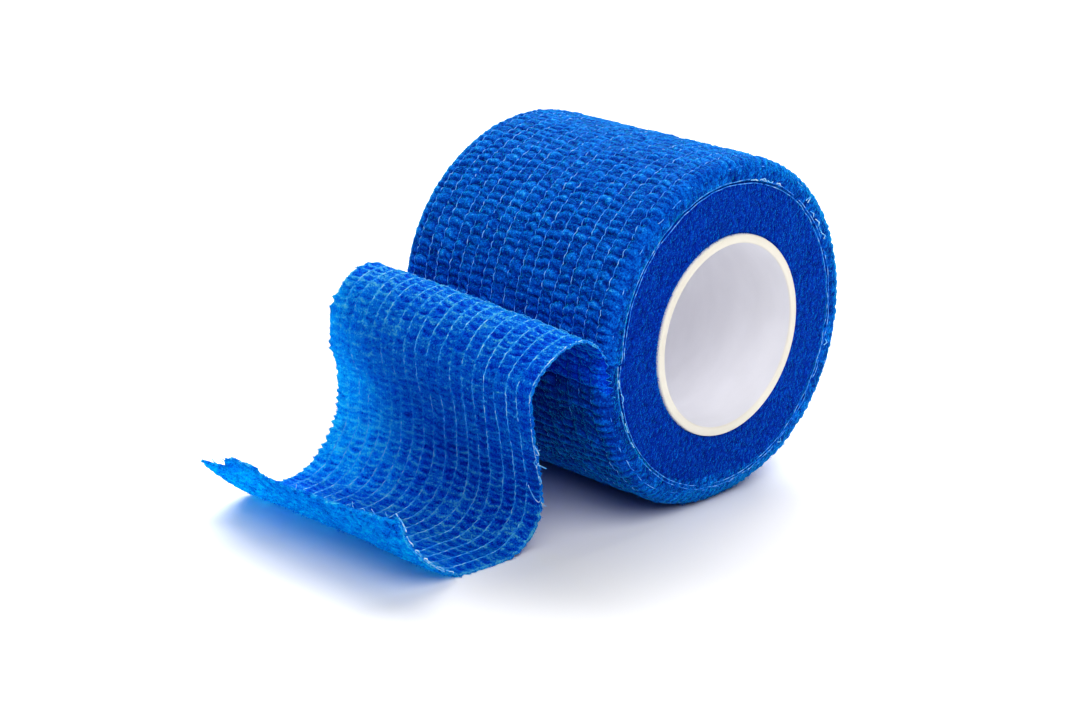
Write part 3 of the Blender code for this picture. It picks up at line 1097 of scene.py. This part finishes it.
# %% Fuzz on the side faces
# Some of it reaches over the core's rim, towards the axis.
skin_sides = (skin_band[:, 2] < 0.3) & (np.abs(places(skin_mesh)[:, 0]) > (FACE_X - 0.3) * MM)
roots, outs = roots_of(skin_mesh, skin_sides, 1200, 63)
inner_sides = np.abs(places(inner_mesh)[:, 0]) > (FACE_X - 0.4) * MM
inner_roots, inner_outs = roots_of(inner_mesh, inner_sides, 2400, 64)
rim_wanted = inner_sides & (band_of(inner_mesh)[:, 0] < CORE_RADIUS + 0.5)
rim_roots, rim_outs = roots_of(inner_mesh, rim_wanted, 700, 65)
towards_axis = rim_roots * (0, -1, -1) + (0, 0, AXIS_HEIGHT)
rim_outs = rim_outs * 0.5 + towards_axis / np.linalg.norm(towards_axis, axis=1, keepdims=True)
side_roots = np.vstack([roots, inner_roots, rim_roots])
side_outs = np.vstack([outs, inner_outs, rim_outs])
counts = (len(roots), len(inner_roots), len(rim_roots))
side_sizes = np.repeat((SHORT_FIBRE, SHORT_FIBRE, RIM_FIBRE), counts)
add_fuzz("side_fuzz", side_roots, side_outs, side_sizes, 66, "blue_band", side_finish)

# %% Fuzz on the loose end
# It grows on the curl's outer side, along both edges, at the cut and on the crest.
sheet_band = band_of(sheet_mesh)
away = -sheet_band[:, 1]
roots, uppers = roots_of(sheet_mesh, away > 56, 2200, 67)
outs = -uppers
edge_wanted = (np.abs(sheet_band[:, 0]) > 24.6) & (away > 1)
edge_roots, edge_outs = roots_of(sheet_mesh, edge_wanted, 1900, 68)
edge_outs = 0.4 * edge_outs + np.sign(edge_roots[:, :1] + 8) * np.array([[1.0, 0.0, 0.0]])
cut_roots, cut_outs = roots_of(sheet_mesh, away > TAIL_LENGTH - 1.6, 900, 69)
cut_outs = 0.4 * cut_outs + np.array([[0.0, -0.5, 0.8]])
crest_roots, crest_outs = roots_of(sheet_mesh, (away > 1) & (away < 30), 1200, 70)
curl_roots = roots + outs * CLOTH / 2
crest_roots = crest_roots + crest_outs * CLOTH / 2
sheet_roots = np.vstack([curl_roots, edge_roots, cut_roots, crest_roots])
sheet_outs = np.vstack([outs, edge_outs, cut_outs, crest_outs])
loose_fuzz = add_fuzz("loose_fuzz", sheet_roots, sheet_outs, LONG_FIBRE, 71, "blue_band_loose", fuzz_finish)

# %% [markdown]
# ## The core
# The core is a smooth stiff tube of ivory card. Its shape in the imported model is right, and only
# its rims are too sharp, so a new tube with rounder rims takes its place: a closed outline, spun.
# The cut rims are creamier than the smooth walls, and the walls have a faint grain. The walls' cool lilac
# tint is painted shade of the bore, on white card.

# %% Core tube
CORE_WALL = 1.55
CORE_END = 25.0
CORE_STEPS = 160
RIM_ROUNDING = 0.32
inner_radius = CORE_RADIUS - CORE_WALL
corners = [(CORE_END, inner_radius, 0.0), (CORE_END, CORE_RADIUS, 0.0)]
corners += [(-CORE_END, CORE_RADIUS, 0.0), (-CORE_END, inner_radius, 0.0)]
core_bm = spun_ring(corners, CORE_STEPS, 0)
bmesh.ops.bevel(core_bm, geom=round_edges(core_bm), offset=RIM_ROUNDING, segments=3, profile=0.5,
                affect="EDGES", material=-1)
bmesh.ops.recalc_face_normals(core_bm, faces=core_bm.faces)
core_mesh = mesh_of("core_tube", core_bm)
core_mesh.attributes.remove(core_mesh.attributes["column"])
co = places(core_mesh)
co[:, 2] += AXIS_HEIGHT
set_places(core_mesh, co)
print("core tube", len(core_mesh.polygons), "faces, bore", 2 * inner_radius, "mm")

# %% Ivory card
RIM_FROM, RIM_SHARPNESS = 24.55, 3.0
core_material, tree, shader = new_material("ivory_card")
grain = noise(tree, object_point(tree, 0.25, (1.0, 0.5, 0.5)), detail=3.0)
point = add_node(tree, "SeparateXYZ", {"Vector": object_point(tree, 1.0)})
rim = math_node(tree, "ABSOLUTE", point.outputs["X"])
rim = math_node(tree, "MULTIPLY", math_node(tree, "SUBTRACT", rim, RIM_FROM), RIM_SHARPNESS, clamp=True)
# The walls: white card with a lilac tint that is painted shade.
wall_colour = ramp(tree, grain, [(0.3, (0.79, 0.785, 0.83)), (0.7, (0.83, 0.825, 0.87))])
rim_colour = ramp(tree, grain, [(0.3, (0.77, 0.73, 0.63)), (0.7, (0.85, 0.81, 0.72))])
mix = add_node(tree, "Mix", {"Factor": rim, 6: wall_colour, 7: rim_colour}, data_type="RGBA")
feed(shader, {"Base Color": mix.outputs[2], "Roughness": 0.45, "Normal": bump(tree, grain, 0.05, 0.4)})
core_tube = add_piece("core_tube", core_mesh, "core_card", core_material)
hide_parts("core")

# %% [markdown]
# ## Viewport colours
# Each material gets a plain viewport colour: blue for the cloth, pale grey for the rest.

for material in bpy.data.materials:
    blue = "blue" in material.name
    material.diffuse_color = (0.05, 0.25, 0.8, 1.0) if blue else (0.9, 0.9, 0.9, 1.0)
